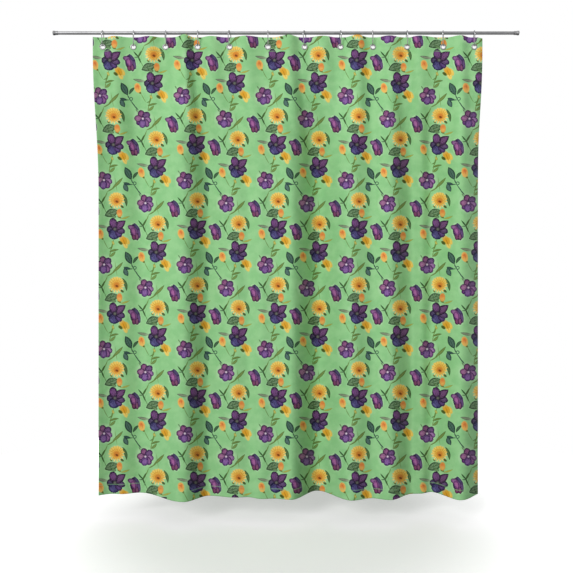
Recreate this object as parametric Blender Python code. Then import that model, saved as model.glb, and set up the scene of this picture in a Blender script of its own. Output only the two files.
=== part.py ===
"""A shower curtain on its rod: a printed polyester sheet with a hemmed edge, twelve two-piece metal
eyelets along its top, twelve pear-shaped wire rings that run on the rod, and a slim tube rod between
two wall cups.

+Z is up, +X runs along the rod to the right and -Y is the front. The origin is on the rod's axis,
halfway along it. Everything is in metres.

The sheet is one piece of cloth. Its solid is divided into twelve upright panels, one for each ring,
so that the panels can close up with the rings when the curtain is drawn."""

import math

import bmesh
import bpy
import numpy as np

GAP = 0.0003  # between pieces that touch
SHARP_ANGLE = math.radians(35)
MERGE_DISTANCE = 1e-6

# Rod and wall cups, all round the X axis.
ROD_LENGTH = 1.855  # from wall to wall, pads included
ROD_RADIUS = 0.00635
ROD_WALL = 0.0009
PAD_RADIUS = 0.0084
PAD_THICKNESS = 0.0025
CUP_FLOOR = 0.002
CUP_DEPTH = 0.016
CUP_RIM = 0.0015
CUP_FLARE = 0.006  # from the floor to where the flare ends
CUP_NECK_RADIUS = ROD_RADIUS + 0.0012
CUP_MOUTH_RADIUS = 0.0090
ROD_SIDES = 32

# Wire rings, each in an upright plane across the rod.
WIRE_RADIUS = 0.0018
RING_TOP_RADIUS = 0.020  # of the wire's centre line over the rod
RING_FOOT_RADIUS = 0.014
RING_FOOT_Z = -0.0513  # the wire's centre line at its lowest point
CLASP_RADIUS = 0.0026  # where the wire's two ends snap together
CLASP_LENGTH = 0.008
WIRE_SIDES = 6
TOP_ARC_STEPS = 10
FOOT_ARC_STEPS = 7
RING_X = (-0.730, -0.608, -0.480, -0.352, -0.225, -0.072, 0.074, 0.217, 0.346, 0.482, 0.626, 0.750)
RING_YAW_DEG = (4, 15, 16, 9, -11, 2, -16, 5, -9, -2, -16, -9)

# Eyelets: a grommet pushed through the cloth from the front, and a washer behind it.
EYELET_HOLE_RADIUS = 0.0070
EYELET_RADIUS = 0.0120
BARREL_WALL = 0.0007
FLANGE_HEIGHT = 0.0020
FLANGE_LIP = 0.0008
WASHER_RADIUS = 0.0115
WASHER_THICKNESS = 0.0010
WIRE_TO_EYELET = 0.0010  # from the wire's upper side to the top of the eyelet's hole
EYELET_SIDES = 16
CUTTER_LENGTH = 0.02
EYELET_Z = RING_FOOT_Z + WIRE_RADIUS + WIRE_TO_EYELET - EYELET_HOLE_RADIUS

# Cloth: its flat size, and how it hangs.
CLOTH_WIDTH = 1.83
CLOTH_DROP = 1.83
CLOTH_THICKNESS = 0.0005
CLOTH_TOP_Z = -0.0173
EYELET_FROM_SIDE = 0.038
EYELET_PITCH = (CLOTH_WIDTH - 2 * EYELET_FROM_SIDE) / (len(RING_X) - 1)
FLAT_HALF_WIDTH = 0.0135  # the cloth is flat under each eyelet
BAND = 0.055  # the top of the cloth, where it keeps the shape that the rings give it
FOLDS_FULL_AT = 0.62  # below the top edge, where the deep folds have taken over
SIDE_REACH = (0.038, 0.036)  # from the outermost rings to the left and right edges
SIDE_BACK = (-0.008, 0.018)  # how far back those edges curl at the top
# The bulge towards the front between each two rings: its depth, and where its crest is, from 0 to 1.
BULGES = (
    (0.016, 0.40), (0.016, 0.50), (0.034, 0.66), (0.016, 0.42), (0.020, 0.42), (0.030, 0.58),
    (0.018, 0.50), (0.030, 0.50), (0.022, 0.46), (0.020, 0.30), (0.024, 0.52),
)  # fmt: skip
HEM_SIDES = (-0.752, 0.776)  # where the left and right edges are at the hem
# The crests (negative) and troughs of the folds at the hem from left to right, the outermost two past
# the edges: x and y.
FOLDS = (
    (-0.790, -0.010), (-0.700, 0.026), (-0.662, 0.022), (-0.595, 0.042), (-0.398, -0.078), (-0.308, 0.002),
    (-0.200, -0.022), (-0.155, -0.016), (-0.095, -0.040), (-0.050, -0.034), (0.020, -0.050), (0.128, 0.068),
    (0.258, -0.060), (0.340, -0.030), (0.408, -0.054), (0.512, 0.026), (0.545, 0.028), (0.592, 0.050),
    (0.684, -0.056), (0.812, 0.046),
)  # fmt: skip

PANEL_COLUMNS = (-0.33, -0.19, 0.19, 0.33)  # beside the flat under the eyelet, in pitches
PATCH_HALF_WIDTH = 0.0130  # of the columns that bound the flat
PANEL_ROWS = 9  # below the band
CURVE_POINTS = 2400
SLOPE_STEP = 1e-5


def clear_scene():
    for thing in list(bpy.data.objects):
        bpy.data.objects.remove(thing, do_unlink=True)


def material(name, colour, roughness, metallic=0.0):
    made = bpy.data.materials.new(name)
    made.use_nodes = True
    shader = made.node_tree.nodes["Principled BSDF"]
    shader.inputs["Base Color"].default_value = (*colour, 1.0)
    shader.inputs["Roughness"].default_value = roughness
    shader.inputs["Metallic"].default_value = metallic
    return made


def add_object(name, mesh, finish, parent=None, place=(0, 0, 0)):
    """An object at place, in metres from the scene's origin, under parent's empty if there is one."""
    mesh.materials.append(finish)
    mesh.shade_smooth()
    mesh.set_sharp_from_angle(angle=SHARP_ANGLE)
    thing = bpy.data.objects.new(name, mesh)
    bpy.context.collection.objects.link(thing)
    thing.location = place
    if parent:
        thing.parent = parent
        thing.location = [a - b for a, b in zip(place, parent.location)]
    return thing


def add_empty(name, place):
    empty = bpy.data.objects.new(name, None)
    bpy.context.collection.objects.link(empty)
    empty.location = place
    return empty


def mesh_of(name, points, faces):
    mesh = bpy.data.meshes.new(name)
    mesh.from_pydata([tuple(p) for p in points], [], faces)
    shape = bmesh.new()
    shape.from_mesh(mesh)
    bmesh.ops.remove_doubles(shape, verts=shape.verts, dist=MERGE_DISTANCE)
    bmesh.ops.recalc_face_normals(shape, faces=shape.faces)
    shape.to_mesh(mesh)
    shape.free()
    return mesh


def turned(name, outline, sides, axis):
    """A closed outline of (distance along the axis, radius), turned about the X or Y axis."""
    points = []
    for i in range(sides):
        angle = 2 * math.pi * i / sides
        for along, radius in outline:
            across = (radius * math.cos(angle), radius * math.sin(angle))
            points.append((along, *across) if axis == "X" else (across[0], along, across[1]))
    n = len(outline)
    faces = []
    for i in range(sides):
        here, there = i * n, (i + 1) % sides * n
        faces += [(here + j, here + (j + 1) % n, there + (j + 1) % n, there + j) for j in range(n)]
    return mesh_of(name, points, faces)


def pear_outline():
    """The ring's centre line in its own plane, from the foot forwards and round, as (y, z, wire radius)."""
    top_z = ROD_RADIUS + GAP + WIRE_RADIUS - RING_TOP_RADIUS
    foot_z = RING_FOOT_Z + RING_FOOT_RADIUS
    lean = math.asin((RING_TOP_RADIUS - RING_FOOT_RADIUS) / (top_z - foot_z))
    points = []
    arcs = (
        (RING_TOP_RADIUS, top_z, -lean, math.pi + 2 * lean, TOP_ARC_STEPS),
        (RING_FOOT_RADIUS, foot_z, math.pi + lean, math.pi - 2 * lean, FOOT_ARC_STEPS),
    )
    for radius, centre_z, start, sweep, steps in arcs:
        for i in range(steps + 1):
            angle = start + sweep * i / steps
            points.append((radius * math.cos(angle), centre_z + radius * math.sin(angle), WIRE_RADIUS))
    last, first = np.array(points[-1][:2]), np.array(points[0][:2])
    length = float(np.linalg.norm(first - last))
    step = CLASP_RADIUS - WIRE_RADIUS
    start = (length - CLASP_LENGTH) / 2
    end = start + CLASP_LENGTH
    sleeve = ((start, WIRE_RADIUS), (start + step, CLASP_RADIUS), (end - step, CLASP_RADIUS))
    sleeve += ((end, WIRE_RADIUS),)
    for along, radius in sleeve:
        points.append((*(last + (first - last) * along / length), radius))
    return points


def ring_mesh(name, yaw):
    """Round wire along the pear outline, turned about the upright through the rod's axis."""
    outline = pear_outline()
    n = len(outline)
    centres = np.array([p[:2] for p in outline])
    points = []
    for i, (y, z, radius) in enumerate(outline):
        ahead = centres[(i + 1) % n] - centres[i - 1]
        outwards = np.array((ahead[1], -ahead[0])) / np.linalg.norm(ahead)
        for j in range(WIRE_SIDES):
            angle = 2 * math.pi * j / WIRE_SIDES
            out = radius * math.cos(angle)
            across = radius * math.sin(angle)
            forth = y + out * outwards[0]
            x_turned = across * math.cos(yaw) - forth * math.sin(yaw)
            y_turned = across * math.sin(yaw) + forth * math.cos(yaw)
            points.append((x_turned, y_turned, z + out * outwards[1]))
    faces = []
    for i in range(n):
        here, there = i * WIRE_SIDES, (i + 1) % n * WIRE_SIDES
        for j in range(WIRE_SIDES):
            k = (j + 1) % WIRE_SIDES
            faces.append((here + j, here + k, there + k, there + j))
    return mesh_of(name, points, faces)


def ease(share):
    return share * share * (3 - 2 * share)


def top_line():
    """The top edge seen from above, as (u across the flat cloth, x, y)."""
    line = []
    per_part = CURVE_POINTS // (len(RING_X) + 1)
    left = RING_X[0] - SIDE_REACH[0]
    right = RING_X[-1] + SIDE_REACH[1]
    parts = [(left, RING_X[0], 0.0, EYELET_FROM_SIDE, None)]
    for k, bulge in enumerate(BULGES):
        u = EYELET_FROM_SIDE + k * EYELET_PITCH
        parts.append((RING_X[k], RING_X[k + 1], u, u + EYELET_PITCH, bulge))
    parts.append((RING_X[-1], right, CLOTH_WIDTH - EYELET_FROM_SIDE, CLOTH_WIDTH, None))
    for x0, x1, u0, u1, bulge in parts:
        x = np.linspace(x0, x1, per_part)
        if bulge:
            share = np.clip((x - x0 - FLAT_HALF_WIDTH) / (x1 - x0 - 2 * FLAT_HALF_WIDTH), 0, 1)
            y = -bulge[0] * np.sin(math.pi * share ** (math.log(0.5) / math.log(bulge[1]))) ** 2
        else:
            from_ring = np.clip((np.abs(x - (x1 if u0 == 0 else x0)) - FLAT_HALF_WIDTH) / (x1 - x0), 0, 1)
            y = SIDE_BACK[u0 > 0] * ease(from_ring)
        run = np.concatenate([[0], np.cumsum(np.hypot(np.diff(x), np.diff(y)))])
        line.append(np.stack([u0 + (u1 - u0) * run / run[-1], x, y]))
    return np.concatenate(line, axis=1)


def hem_line():
    """The same for the deep folds at the hem."""
    x, y = [], []
    for (x0, y0), (x1, y1) in zip(FOLDS, FOLDS[1:]):
        share = np.linspace(0, 1, CURVE_POINTS // len(FOLDS))
        x.append(x0 + (x1 - x0) * share)
        y.append(y0 + (y1 - y0) * ease(share))
    x, y = np.concatenate(x), np.concatenate(y)
    on_cloth = (x >= HEM_SIDES[0]) & (x <= HEM_SIDES[1])
    x, y = x[on_cloth], y[on_cloth]
    run = np.concatenate([[0], np.cumsum(np.hypot(np.diff(x), np.diff(y)))])
    return np.stack([CLOTH_WIDTH * run / run[-1], x, y])


def folded(u, v, top, hem):
    """Where the point u across and v down the flat cloth hangs."""
    share = ease(np.clip((v - BAND) / (FOLDS_FULL_AT - BAND), 0, 1))
    depth = 1 / np.sqrt(share**2 + (1 - share) ** 2)
    x = (1 - share) * np.interp(u, top[0], top[1]) + share * np.interp(u, hem[0], hem[1])
    y = (1 - share) * np.interp(u, top[0], top[2]) + share * np.interp(u, hem[0], hem[2])
    return np.stack([x, y * depth, CLOTH_TOP_Z - v + 0 * u], axis=-1)


def balanced(top, hem):
    """The hem line moved in y so that the whole cloth's weight hangs straight below the rod."""
    u, v = np.meshgrid(np.linspace(0, CLOTH_WIDTH, 240), np.linspace(0, CLOTH_DROP, 120))
    lean = folded(u, v, top, hem)[..., 1].mean()
    moved = hem.copy()
    moved[2] -= lean / (1 - FOLDS_FULL_AT / CLOTH_DROP / 2)
    return moved


def panel_mesh(name, k, top, hem):
    """One upright panel of the cloth: two skins a cloth's thickness apart, closed round its edge."""
    centre = EYELET_FROM_SIDE + k * EYELET_PITCH
    left = centre - EYELET_PITCH / 2 + GAP if k else 0.0
    right = centre + EYELET_PITCH / 2 - GAP if k < len(RING_X) - 1 else CLOTH_WIDTH
    inside = [centre + share * EYELET_PITCH for share in PANEL_COLUMNS]
    patch = (RING_X[k] - PATCH_HALF_WIDTH, RING_X[k] + PATCH_HALF_WIDTH)
    inside += np.interp(patch, top[1], top[0]).tolist()
    across = np.array([left, *sorted(c for c in inside if left < c < right), right])
    lower = BAND + (CLOTH_DROP - BAND) * (np.arange(PANEL_ROWS + 1) / PANEL_ROWS) ** 1.35
    down = np.concatenate([[0.0, BAND / 2], lower])
    u, v = np.meshgrid(across, down)
    middle = folded(u, v, top, hem)
    along_u = folded(u + SLOPE_STEP, v, top, hem) - folded(u - SLOPE_STEP, v, top, hem)
    along_v = folded(u, v + SLOPE_STEP, top, hem) - folded(u, v, top, hem)
    out = np.cross(along_u, along_v)
    out /= np.linalg.norm(out, axis=-1, keepdims=True)
    skins = [middle + side * CLOTH_THICKNESS / 2 * out for side in (1, -1)]
    rows, columns = u.shape
    points = np.concatenate([s.reshape(-1, 3) for s in skins]) - (RING_X[k], 0, RING_FOOT_Z)
    count = rows * columns

    def at(row, column, skin):
        return skin * count + row * columns + column

    faces = []
    for skin in (0, 1):
        for i in range(rows - 1):
            for j in range(columns - 1):
                faces.append((at(i, j, skin), at(i, j + 1, skin), at(i + 1, j + 1, skin), at(i + 1, j, skin)))
    rim = [(0, j) for j in range(columns)] + [(i, columns - 1) for i in range(1, rows)]
    rim += [(rows - 1, j) for j in range(columns - 2, -1, -1)] + [(i, 0) for i in range(rows - 2, 0, -1)]
    for (i, j), (p, q) in zip(rim, rim[1:] + rim[:1]):
        faces.append((at(i, j, 0), at(p, q, 0), at(p, q, 1), at(i, j, 1)))
    return mesh_of(name, points, faces)


def cut_eyelet_hole(panel, k, finish):
    """A round hole through the cloth, 0.3 mm clear of the grommet's barrel."""
    radius = EYELET_HOLE_RADIUS + BARREL_WALL + GAP
    shape = bmesh.new()
    size = {"radius1": radius, "radius2": radius, "depth": CUTTER_LENGTH}
    bmesh.ops.create_cone(shape, cap_ends=True, segments=EYELET_SIDES, **size)
    mesh = bpy.data.meshes.new(f"hole_cutter_{k + 1:02d}")
    shape.to_mesh(mesh)
    shape.free()
    cutter = add_object(mesh.name, mesh, finish, place=(RING_X[k], 0, EYELET_Z))
    cutter.rotation_euler = (math.pi / 2, 0, 0)
    cutter.hide_render = True
    cutter.display_type = "WIRE"
    hole = panel.modifiers.new("eyelet_hole", "BOOLEAN")
    hole.operation = "DIFFERENCE"
    hole.solver = "EXACT"
    hole.object = cutter


def grommet_outline():
    """A domed flange in front of the cloth, and the barrel through it. The front is at -Y."""
    face = -(CLOTH_THICKNESS / 2 + GAP)
    back = CLOTH_THICKNESS / 2 + GAP + WASHER_THICKNESS
    hole = EYELET_HOLE_RADIUS
    barrel = hole + BARREL_WALL
    crest = (hole + EYELET_RADIUS) / 2
    return (
        (back, hole),
        (back, barrel),
        (face, barrel),
        (face, EYELET_RADIUS - FLANGE_LIP / 2),
        (face - FLANGE_LIP, EYELET_RADIUS),
        (face - FLANGE_HEIGHT, crest + FLANGE_LIP),
        (face - FLANGE_HEIGHT, crest - FLANGE_LIP),
        (face - FLANGE_LIP, hole),
    )


def washer_outline():
    face = CLOTH_THICKNESS / 2 + GAP
    inner = EYELET_HOLE_RADIUS + BARREL_WALL + GAP
    return (
        (face, inner),
        (face, WASHER_RADIUS),
        (face + WASHER_THICKNESS / 2, WASHER_RADIUS),
        (face + WASHER_THICKNESS, WASHER_RADIUS - WASHER_THICKNESS),
        (face + WASHER_THICKNESS, inner),
    )


def make_rod(steel, chrome, rubber):
    half = ROD_LENGTH / 2
    pad_face = half - PAD_THICKNESS
    tube_end = pad_face - GAP - CUP_FLOOR - GAP
    tube = ((-tube_end, ROD_RADIUS - ROD_WALL), (-tube_end, ROD_RADIUS), (tube_end, ROD_RADIUS))
    tube += ((tube_end, ROD_RADIUS - ROD_WALL),)
    add_object("rod_tube", turned("rod_tube", tube, ROD_SIDES, "X"), steel)
    for side, name in ((-1, "left"), (1, "right")):
        floor = pad_face - GAP
        sleeve = ROD_RADIUS + GAP
        cup = (
            (floor, 0.0),
            (floor, CUP_MOUTH_RADIUS),
            (floor - CUP_RIM, CUP_MOUTH_RADIUS),
            (floor - CUP_FLARE, CUP_NECK_RADIUS + CUP_RIM / 2),
            (floor - CUP_DEPTH, CUP_NECK_RADIUS),
            (floor - CUP_DEPTH, sleeve),
            (floor - CUP_FLOOR, sleeve),
            (floor - CUP_FLOOR, 0.0),
        )
        cup = [(side * along, radius) for along, radius in cup]
        add_object(f"wall_cup_{name}", turned(f"wall_cup_{name}", cup, ROD_SIDES, "X"), chrome)
        pad = ((half, 0.0), (half, PAD_RADIUS), (pad_face, PAD_RADIUS), (pad_face, 0.0))
        pad = [(side * along, radius) for along, radius in pad]
        add_object(f"wall_pad_{name}", turned(f"wall_pad_{name}", pad, ROD_SIDES, "X"), rubber)


def make_station(k, top, hem, steel, nickel, cloth):
    """A ring, and the eyelet and the panel of cloth that hang on it, each under the empty of its joint."""
    number = f"{k + 1:02d}"
    slide = add_empty(f"slide_{number}", (RING_X[k], 0, 0))
    pivot = add_empty(f"pivot_{number}", (RING_X[k], 0, RING_FOOT_Z))
    ring = ring_mesh(f"ring_{number}", math.radians(RING_YAW_DEG[k]))
    add_object(ring.name, ring, steel, slide, (RING_X[k], 0, 0))
    for name, outline in ((f"grommet_{number}", grommet_outline()), (f"washer_{number}", washer_outline())):
        mesh = turned(name, outline, EYELET_SIDES, "Y")
        add_object(name, mesh, nickel, pivot, (RING_X[k], 0, EYELET_Z))
    mesh = panel_mesh(f"cloth_panel_{number}", k, top, hem)
    panel = add_object(mesh.name, mesh, cloth, pivot, (RING_X[k], 0, RING_FOOT_Z))
    cut_eyelet_hole(panel, k, cloth)


def main():
    clear_scene()
    steel = material("steel", (0.62, 0.62, 0.63), 0.25, 1.0)
    nickel = material("nickel", (0.75, 0.75, 0.75), 0.22, 1.0)
    chrome = material("chrome", (0.70, 0.70, 0.70), 0.2, 1.0)
    rubber = material("rubber", (0.22, 0.22, 0.22), 0.8)
    cloth = material("cloth", (0.25, 0.60, 0.27), 0.75)
    top = top_line()
    hem = balanced(top, hem_line())
    make_rod(steel, chrome, rubber)
    for k in range(len(RING_X)):
        make_station(k, top, hem, steel, nickel, cloth)


main()
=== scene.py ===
"""The looks of the shower curtain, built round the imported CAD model: one printed polyester sheet with
sewn hems, two-piece eyelets, wire rings, and a satin tube rod in its wall cups.

Everything is in metres in the row frame: +Z up, +X along the rod to the right, -Y the front.
The print's motifs are in millimetres across the cloth as it hangs, x to the right and y down."""

import math

import bmesh
import bpy
import numpy as np
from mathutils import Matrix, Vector


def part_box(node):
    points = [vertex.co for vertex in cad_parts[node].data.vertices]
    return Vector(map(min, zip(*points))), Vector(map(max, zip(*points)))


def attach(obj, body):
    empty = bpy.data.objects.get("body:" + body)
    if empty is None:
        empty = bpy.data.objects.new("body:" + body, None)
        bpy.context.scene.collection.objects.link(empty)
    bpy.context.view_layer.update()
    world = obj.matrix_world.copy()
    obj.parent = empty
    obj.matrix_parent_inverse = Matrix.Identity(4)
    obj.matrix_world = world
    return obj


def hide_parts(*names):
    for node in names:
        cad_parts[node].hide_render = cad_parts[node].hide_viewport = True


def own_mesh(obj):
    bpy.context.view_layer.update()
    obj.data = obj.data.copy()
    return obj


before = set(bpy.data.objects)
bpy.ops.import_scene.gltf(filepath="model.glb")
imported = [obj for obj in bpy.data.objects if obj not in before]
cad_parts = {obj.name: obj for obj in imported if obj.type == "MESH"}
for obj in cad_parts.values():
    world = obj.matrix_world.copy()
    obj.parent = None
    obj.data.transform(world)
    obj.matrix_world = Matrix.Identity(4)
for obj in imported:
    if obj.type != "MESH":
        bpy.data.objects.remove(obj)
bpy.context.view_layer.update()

# Sizes that repeat the CAD source.
RING_X = (-0.730, -0.608, -0.480, -0.352, -0.225, -0.072, 0.074, 0.217, 0.346, 0.482, 0.626, 0.750)
RING_YAW_DEG = (4, 15, 16, 9, -11, 2, -16, 5, -9, -2, -16, -9)
RINGS = [f"{k + 1:02d}" for k in range(len(RING_X))]
GAP = 0.0003
ROD_RADIUS = 0.00635
ROD_WALL = 0.0009
CUP_WALL = 0.0009
CUP_RIM = 0.0015
CUP_FLARE = 0.0060
CUP_FLOOR = 0.002
WIRE_RADIUS = 0.0018
RING_TOP_RADIUS = 0.020
RING_FOOT_RADIUS = 0.014
RING_FOOT_Z = -0.0513
CLASP_RADIUS = 0.0026
CLASP_LENGTH = 0.008
EYELET_HOLE_RADIUS = 0.0070
EYELET_RADIUS = 0.0120
EYELET_Z = RING_FOOT_Z + WIRE_RADIUS + 0.0010 - EYELET_HOLE_RADIUS
BARREL_WALL = 0.0007
FLANGE_HEIGHT = 0.0020
WASHER_RADIUS = 0.0115
WASHER_THICKNESS = 0.0010
CLOTH_WIDTH = 1.83
CLOTH_DROP = 1.83
CLOTH_THICKNESS = 0.0005
CLOTH_TOP_Z = -0.0173
EYELET_FROM_SIDE = 0.038
EYELET_PITCH = (CLOTH_WIDTH - 2 * EYELET_FROM_SIDE) / (len(RING_X) - 1)
FLAT_HALF_WIDTH = 0.0135
BAND = 0.055
FOLDS_FULL_AT = 0.62
SIDE_REACH = (0.038, 0.036)
SIDE_BACK = (-0.008, 0.018)
HEM_SIDES = (-0.752, 0.776)
BULGES = (
    (0.016, 0.40), (0.016, 0.50), (0.034, 0.66), (0.016, 0.42), (0.020, 0.42), (0.030, 0.58),
    (0.018, 0.50), (0.030, 0.50), (0.022, 0.46), (0.020, 0.30), (0.024, 0.52),
)  # fmt: skip
FOLDS = (
    (-0.790, -0.010), (-0.700, 0.026), (-0.662, 0.022), (-0.595, 0.042), (-0.398, -0.078), (-0.308, 0.002),
    (-0.200, -0.022), (-0.155, -0.016), (-0.095, -0.040), (-0.050, -0.034), (0.020, -0.050), (0.128, 0.068),
    (0.258, -0.060), (0.340, -0.030), (0.408, -0.054), (0.512, 0.026), (0.545, 0.028), (0.592, 0.050),
    (0.684, -0.056), (0.812, 0.046),
)  # fmt: skip
CURVE_POINTS = 2400

# How finely the sheet is divided, along u and v.
CELL = 0.0082
CELL_AT_EYELET = 0.0023
CELL_AT_HEM = 0.0025
CELL_AT_SEAM = 0.0015
TALL_CELL = 0.0165
NEAR_EYELET = 0.0138

# The sheet's sewing.
HEM_DEPTH = 0.042  # bottom hem
SIDE_HEM = 0.016
HEADER = 0.058  # the doubled band that holds the eyelets
HEM_THICKNESS = 0.0010
THINNEST_RIM = 0.12  # under the square root that rounds the sheet's rim
STITCH_LENGTH = 0.0032
THREAD = 0.0005
WEAVE = 0.0009
HOLE_CUT_RADIUS = 0.0100  # of the cloth round each eyelet's barrel, under its flange

# The camera, level with the middle of the curtain, and the room.
CAMERA = Vector((0.002, -2.65, -1.0094))
LENS = 41.8
SENSOR = 36.0
FLOOR_Z = -1.95
FLOOR_RADIUS = 1.9
FLOOR_PALE = 0.86  # how pale it looks
FLOOR_BOUNCE = 0.07  # how much of the light it throws back up at the cloth
FLOOR_LIFT = 0.16  # how much it glows in its middle
FLOOR_FADE = (0.45, 1.5)  # the distances between which it turns white
KEY_STRENGTH = 1.70
KEY_ANGLE_DEG = 24
KEY_DIRECTION = Vector((0.50, 0.80, -0.42))
SURROUND_STRENGTH = 0.57

# The print: where its first dark flower is on the hung cloth, and its half-drop repeat.
PRINT_TOP_SPAN = (-0.768, 0.772)
PRINT_HEM_SPAN = (-0.746, 0.764)
PRINT_WIDTH = PRINT_HEM_SPAN[1] - PRINT_HEM_SPAN[0]
FIRST_FLOWER = (0.0655, 0.0898)
REPEAT = (0.3216, 0.3365)
HALF_DROP = 0.0919
HALF_SHIFT = 0.0038  # the second set of flowers is this far right of halfway

PETAL_GRAIN_SCALE = 230.0  # marks about 4 mm across
PETAL_GRAIN = 1.3  # how far they break up the shading of a petal
PETAL_RAG = 0.28  # and its outline


def srgb(*levels):
    """A colour given as three sRGB levels from 0 to 255, as a linear RGBA."""
    shares = [level / 255 for level in levels]
    linear = [s / 12.92 if s <= 0.04045 else ((s + 0.055) / 1.055) ** 2.4 for s in shares]
    return (*linear, 1.0)


HALO = srgb(190, 226, 182)  # the pale edge round each printed flower


# ---------------------------------------------------------------- the hanging cloth


def ease(share):
    return share * share * (3 - 2 * share)


def top_line():
    """The top edge seen from above, as (u across the flat cloth, x, y)."""
    line = []
    per_part = CURVE_POINTS // (len(RING_X) + 1)
    left = RING_X[0] - SIDE_REACH[0]
    right = RING_X[-1] + SIDE_REACH[1]
    parts = [(left, RING_X[0], 0.0, EYELET_FROM_SIDE, None)]
    for k, bulge in enumerate(BULGES):
        u = EYELET_FROM_SIDE + k * EYELET_PITCH
        parts.append((RING_X[k], RING_X[k + 1], u, u + EYELET_PITCH, bulge))
    parts.append((RING_X[-1], right, CLOTH_WIDTH - EYELET_FROM_SIDE, CLOTH_WIDTH, None))
    for x0, x1, u0, u1, bulge in parts:
        x = np.linspace(x0, x1, per_part)
        if bulge:
            share = np.clip((x - x0 - FLAT_HALF_WIDTH) / (x1 - x0 - 2 * FLAT_HALF_WIDTH), 0, 1)
            y = -bulge[0] * np.sin(math.pi * share ** (math.log(0.5) / math.log(bulge[1]))) ** 2
        else:
            from_ring = np.clip((np.abs(x - (x1 if u0 == 0 else x0)) - FLAT_HALF_WIDTH) / (x1 - x0), 0, 1)
            y = SIDE_BACK[u0 > 0] * ease(from_ring)
        run = np.concatenate([[0], np.cumsum(np.hypot(np.diff(x), np.diff(y)))])
        line.append(np.stack([u0 + (u1 - u0) * run / run[-1], x, y]))
    return np.concatenate(line, axis=1)


def hem_line():
    """The same for the deep folds at the hem."""
    x, y = [], []
    for (x0, y0), (x1, y1) in zip(FOLDS, FOLDS[1:]):
        share = np.linspace(0, 1, CURVE_POINTS // len(FOLDS))
        x.append(x0 + (x1 - x0) * share)
        y.append(y0 + (y1 - y0) * ease(share))
    x, y = np.concatenate(x), np.concatenate(y)
    on_cloth = (x >= HEM_SIDES[0]) & (x <= HEM_SIDES[1])
    x, y = x[on_cloth], y[on_cloth]
    run = np.concatenate([[0], np.cumsum(np.hypot(np.diff(x), np.diff(y)))])
    return np.stack([CLOTH_WIDTH * run / run[-1], x, y])


def settled(v):
    """How far the deep folds have taken over from the rings' shape, v below the top edge."""
    return ease(np.clip((v - BAND) / (FOLDS_FULL_AT - BAND), 0, 1))


def folded(u, v, top, hem):
    """Where the point u across and v down the flat cloth hangs."""
    share = settled(v)
    depth = 1 / np.sqrt(share**2 + (1 - share) ** 2)
    x = (1 - share) * np.interp(u, top[0], top[1]) + share * np.interp(u, hem[0], hem[1])
    y = (1 - share) * np.interp(u, top[0], top[2]) + share * np.interp(u, hem[0], hem[2])
    return np.stack([x, y * depth, CLOTH_TOP_Z - v + 0 * u], axis=-1)


def balanced(top, hem):
    """The hem line moved in y so that the whole cloth's weight hangs straight below the rod."""
    u, v = np.meshgrid(np.linspace(0, CLOTH_WIDTH, 240), np.linspace(0, CLOTH_DROP, 120))
    lean = folded(u, v, top, hem)[..., 1].mean()
    moved = hem.copy()
    moved[2] -= lean / (1 - FOLDS_FULL_AT / CLOTH_DROP / 2)
    return moved


def spaced(stops):
    """Places along the cloth from (place, step to the next place) pairs, each stretch evenly divided."""
    places = []
    for (start, step), (end, _) in zip(stops, stops[1:]):
        count = max(1, round((end - start) / step))
        places += [start + (end - start) * i / count for i in range(count)]
    return np.array([*places, stops[-1][0]])


def sheet_grid():
    """The flat cloth's columns and rows: fine round the eyelets and along the hems."""
    across = [(0.0, CELL_AT_HEM), (SIDE_HEM + 0.002, 0.006)]
    for k in range(len(RING_X)):
        u = EYELET_FROM_SIDE + k * EYELET_PITCH
        across += [(u - NEAR_EYELET, CELL_AT_EYELET), (u + NEAR_EYELET, CELL)]
    across += [(CLOTH_WIDTH - SIDE_HEM - 0.002, CELL_AT_HEM), (CLOTH_WIDTH, 0)]
    eyelet_v = CLOTH_TOP_Z - EYELET_Z
    hem_v = CLOTH_DROP - HEM_DEPTH
    down = [
        (0.0, 0.003),
        (0.006, 0.006),
        (eyelet_v - NEAR_EYELET, CELL_AT_EYELET),
        (eyelet_v + NEAR_EYELET, CELL_AT_SEAM),
        (HEADER + 0.004, TALL_CELL),
        (hem_v - 0.003, CELL_AT_SEAM),
        (hem_v + 0.003, 0.008),
        (CLOTH_DROP - 0.005, CELL_AT_HEM),
        (CLOTH_DROP, 0),
    ]
    return spaced(across), spaced(down)


def thickness(u, v):
    """The cloth's own thickness, and more where it is turned in and sewn down."""
    soft = CELL_AT_SEAM
    side = np.minimum(u, CLOTH_WIDTH - u)
    doubled = np.clip((SIDE_HEM - side) / soft, 0, 1)
    doubled = np.maximum(doubled, np.clip((HEADER - v) / soft, 0, 1))
    doubled = np.maximum(doubled, np.clip((v - CLOTH_DROP + HEM_DEPTH) / soft, 0, 1))
    rim = np.minimum(side, np.minimum(v, CLOTH_DROP - v))
    rounding = np.sqrt(np.clip(rim / (HEM_THICKNESS / 2), THINNEST_RIM, 1))
    return (CLOTH_THICKNESS + (HEM_THICKNESS - CLOTH_THICKNESS) * doubled) * rounding


def print_place(points, v):
    """Where a point of the hung cloth lies in the print, which runs evenly across it as it hangs."""
    nearer = -CAMERA.y / (points[..., 1] - CAMERA.y)
    x = CAMERA.x + (points[..., 0] - CAMERA.x) * nearer
    z = CAMERA.z + (points[..., 2] - CAMERA.z) * nearer
    share = settled(v)
    left = PRINT_TOP_SPAN[0] * (1 - share) + PRINT_HEM_SPAN[0] * share
    right = PRINT_TOP_SPAN[1] * (1 - share) + PRINT_HEM_SPAN[1] * share
    return np.stack([(x - left) / (right - left) * PRINT_WIDTH, CLOTH_TOP_Z - z], axis=-1)


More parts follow.
